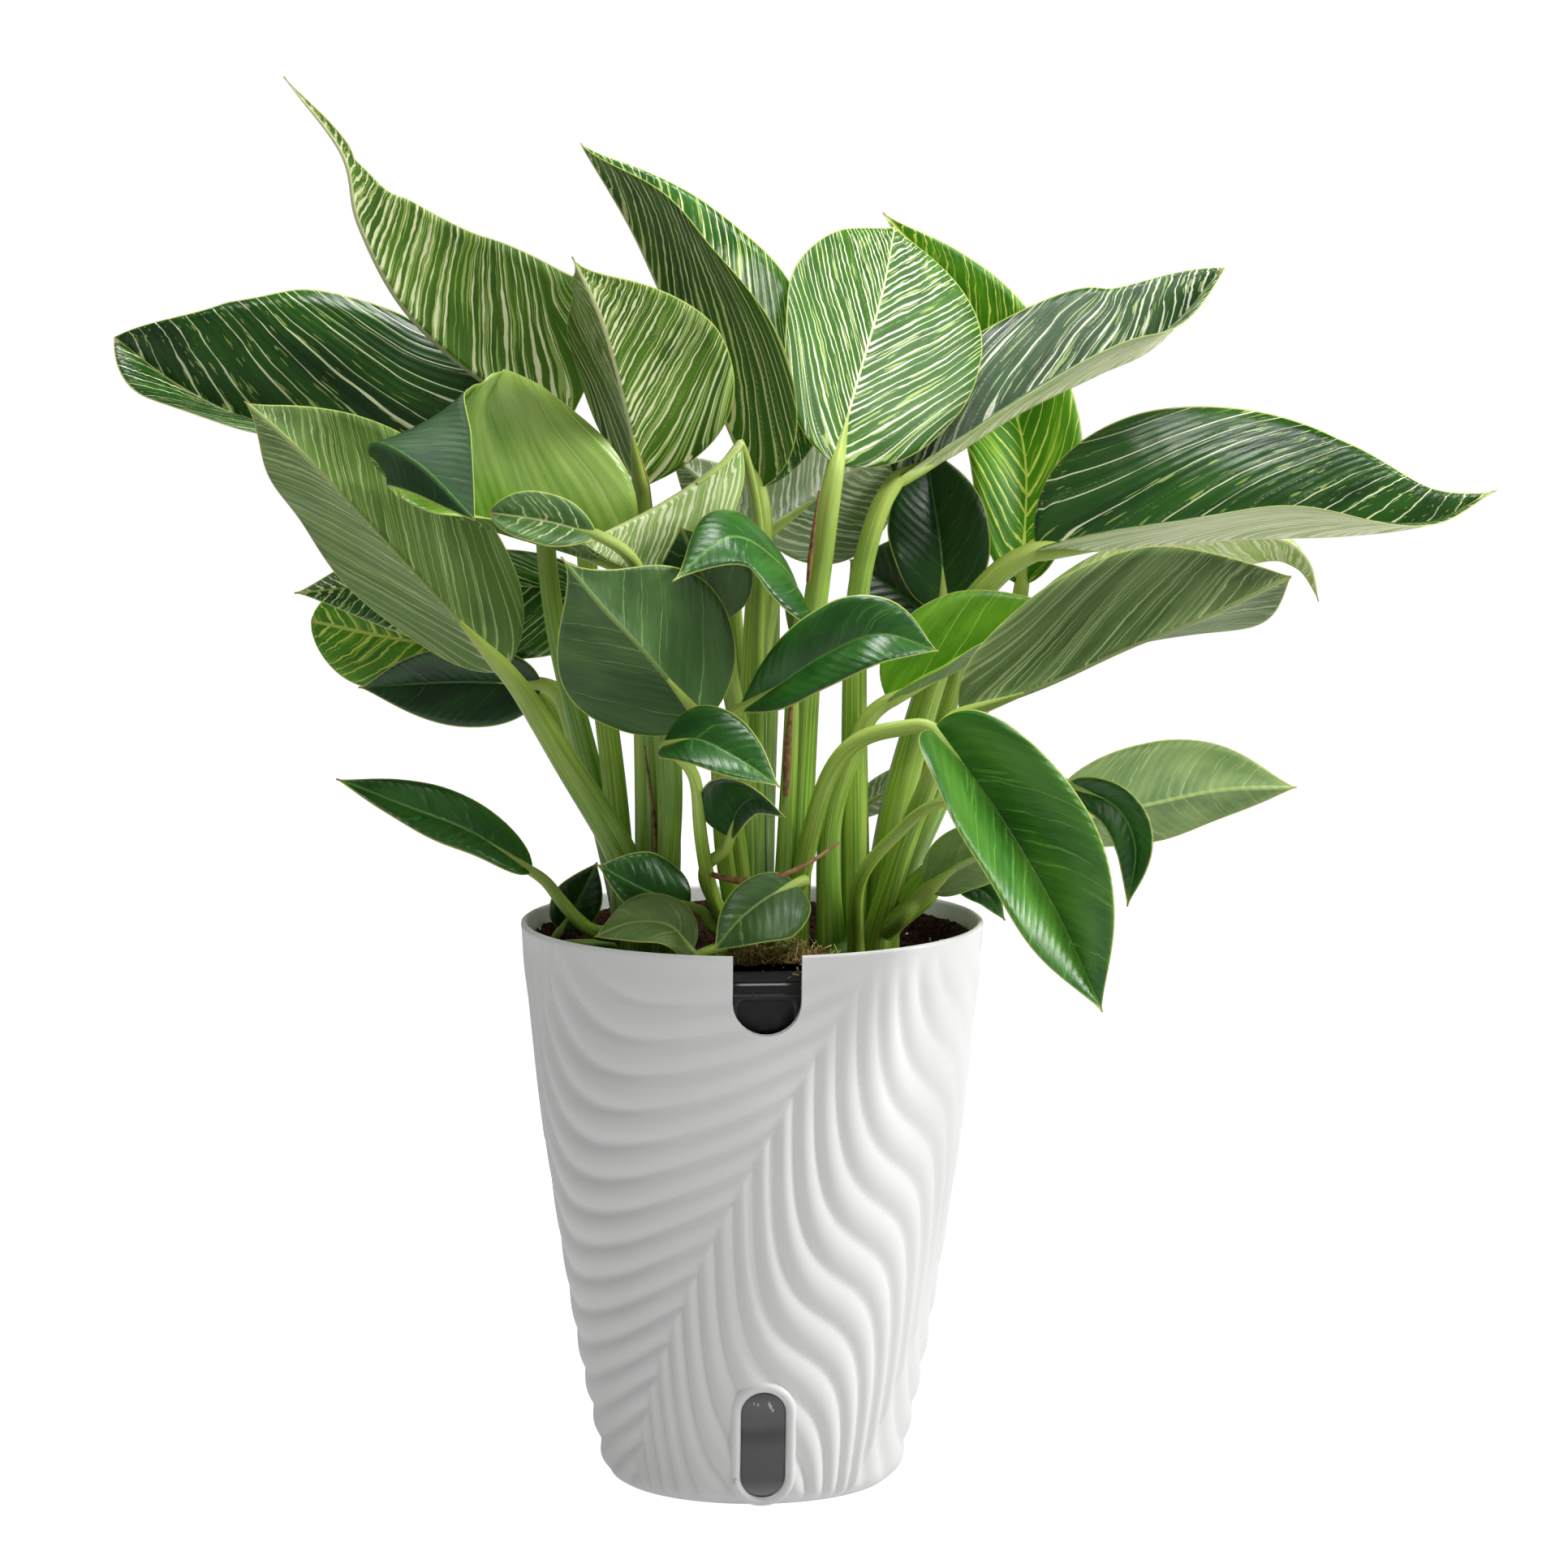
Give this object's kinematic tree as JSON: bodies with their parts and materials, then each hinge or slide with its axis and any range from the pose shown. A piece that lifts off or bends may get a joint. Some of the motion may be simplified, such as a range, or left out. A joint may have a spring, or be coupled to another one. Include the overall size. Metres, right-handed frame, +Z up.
{
  "type": "potted philodendron",
  "caption": "Striped-leaf philodendron in a white wave-relief self-watering pot with a rim notch, inner pot, moss and a clear water-level window.",
  "frame": {"origin": "middle of the pot's flat base, on the surface that it stands on", "axes": "+Z up along the pot's axis; -Y towards the front, where the watering notch and the water window are; +X to the right seen from the front"},
  "size_m": [0.4959, 0.2316, 0.5036],
  "materials": {
    "white_plastic": "satin white with a moulded wave relief",
    "clear_plastic": "clear, glossy",
    "black_plastic": "satin black",
    "soil": "loose dark potting soil",
    "moss": "dry green and brown moss",
    "stalks": "smooth lime green leaf stalks",
    "leaf_dark": "glossy dark green with thin yellow stripes",
    "leaf_cream": "underside with broad cream stripes",
    "leaf_olive": "satin olive green underside with thin pale stripes",
    "leaf_bright": "glossy light green",
    "leaf_lined": "green with even yellow stripes",
    "leaf_white": "green, heavily striped with cream white",
    "leaf_lime": "yellow green with fine lines",
    "leaf_pale": "pale green underside",
    "leaf_deep": "satin deep green",
    "leaf_silver": "grey green, blurred pale stripes",
    "leaf_plain": "glossy plain green with pale margin",
    "leaf_grey_stripe": "grey green with two yellow stripes",
    "leaf_pale_stripe": "pale green underside with soft stripes"
  },
  "bodies": {
    "root": {"outer_pot": "white_plastic", "water_window": "clear_plastic", "inner_pot": "black_plastic", "soil": "soil", "moss": "moss", "crown_left": "stalks", "crown_middle": "stalks", "crown_right": "stalks", "leaf_far_left": "leaf_dark", "leaf_top_left": "leaf_cream", "leaf_left_hanging": "leaf_olive", "leaf_folded_tip": "leaf_bright", "leaf_small_striped": "leaf_grey_stripe", "leaf_rolled": "leaf_pale_stripe", "leaf_upper_left": "leaf_cream", "leaf_top_centre": "leaf_lined", "leaf_round_centre": "leaf_white", "leaf_upper_right": "leaf_white", "leaf_back_right": "leaf_lime", "leaf_far_right": "leaf_dark", "leaf_right_drooping_tip": "leaf_pale", "leaf_right_middle": "leaf_olive", "leaf_bright_right": "leaf_bright", "leaf_dark_back": "leaf_deep", "leaf_dark_low_back": "leaf_deep", "leaf_grey_back": "leaf_silver", "leaf_arching": "leaf_plain", "leaf_pointing_right": "leaf_plain", "leaf_round_left": "leaf_olive", "leaf_behind_round": "leaf_olive", "leaf_low_centre": "leaf_plain", "leaf_fan": "leaf_deep", "leaf_drooping_right": "leaf_plain", "leaf_low_right": "leaf_olive", "leaf_curled_right": "leaf_plain", "leaf_rim_right": "leaf_olive", "leaf_rim_right_tip": "leaf_plain", "leaf_small_right": "leaf_plain", "leaf_low_left": "leaf_plain", "leaf_striped_left": "leaf_lined", "leaf_dark_left": "leaf_deep", "leaf_curled_left": "leaf_lime", "leaf_soil_left": "leaf_deep", "leaf_rim_left": "leaf_plain", "leaf_rim_left_low": "leaf_plain", "leaf_rim_front": "leaf_deep", "leaf_narrow_back_right": "leaf_silver", "leaf_top_back": "leaf_lined", "leaf_grey_centre": "leaf_silver"}
  },
  "joints": []
}
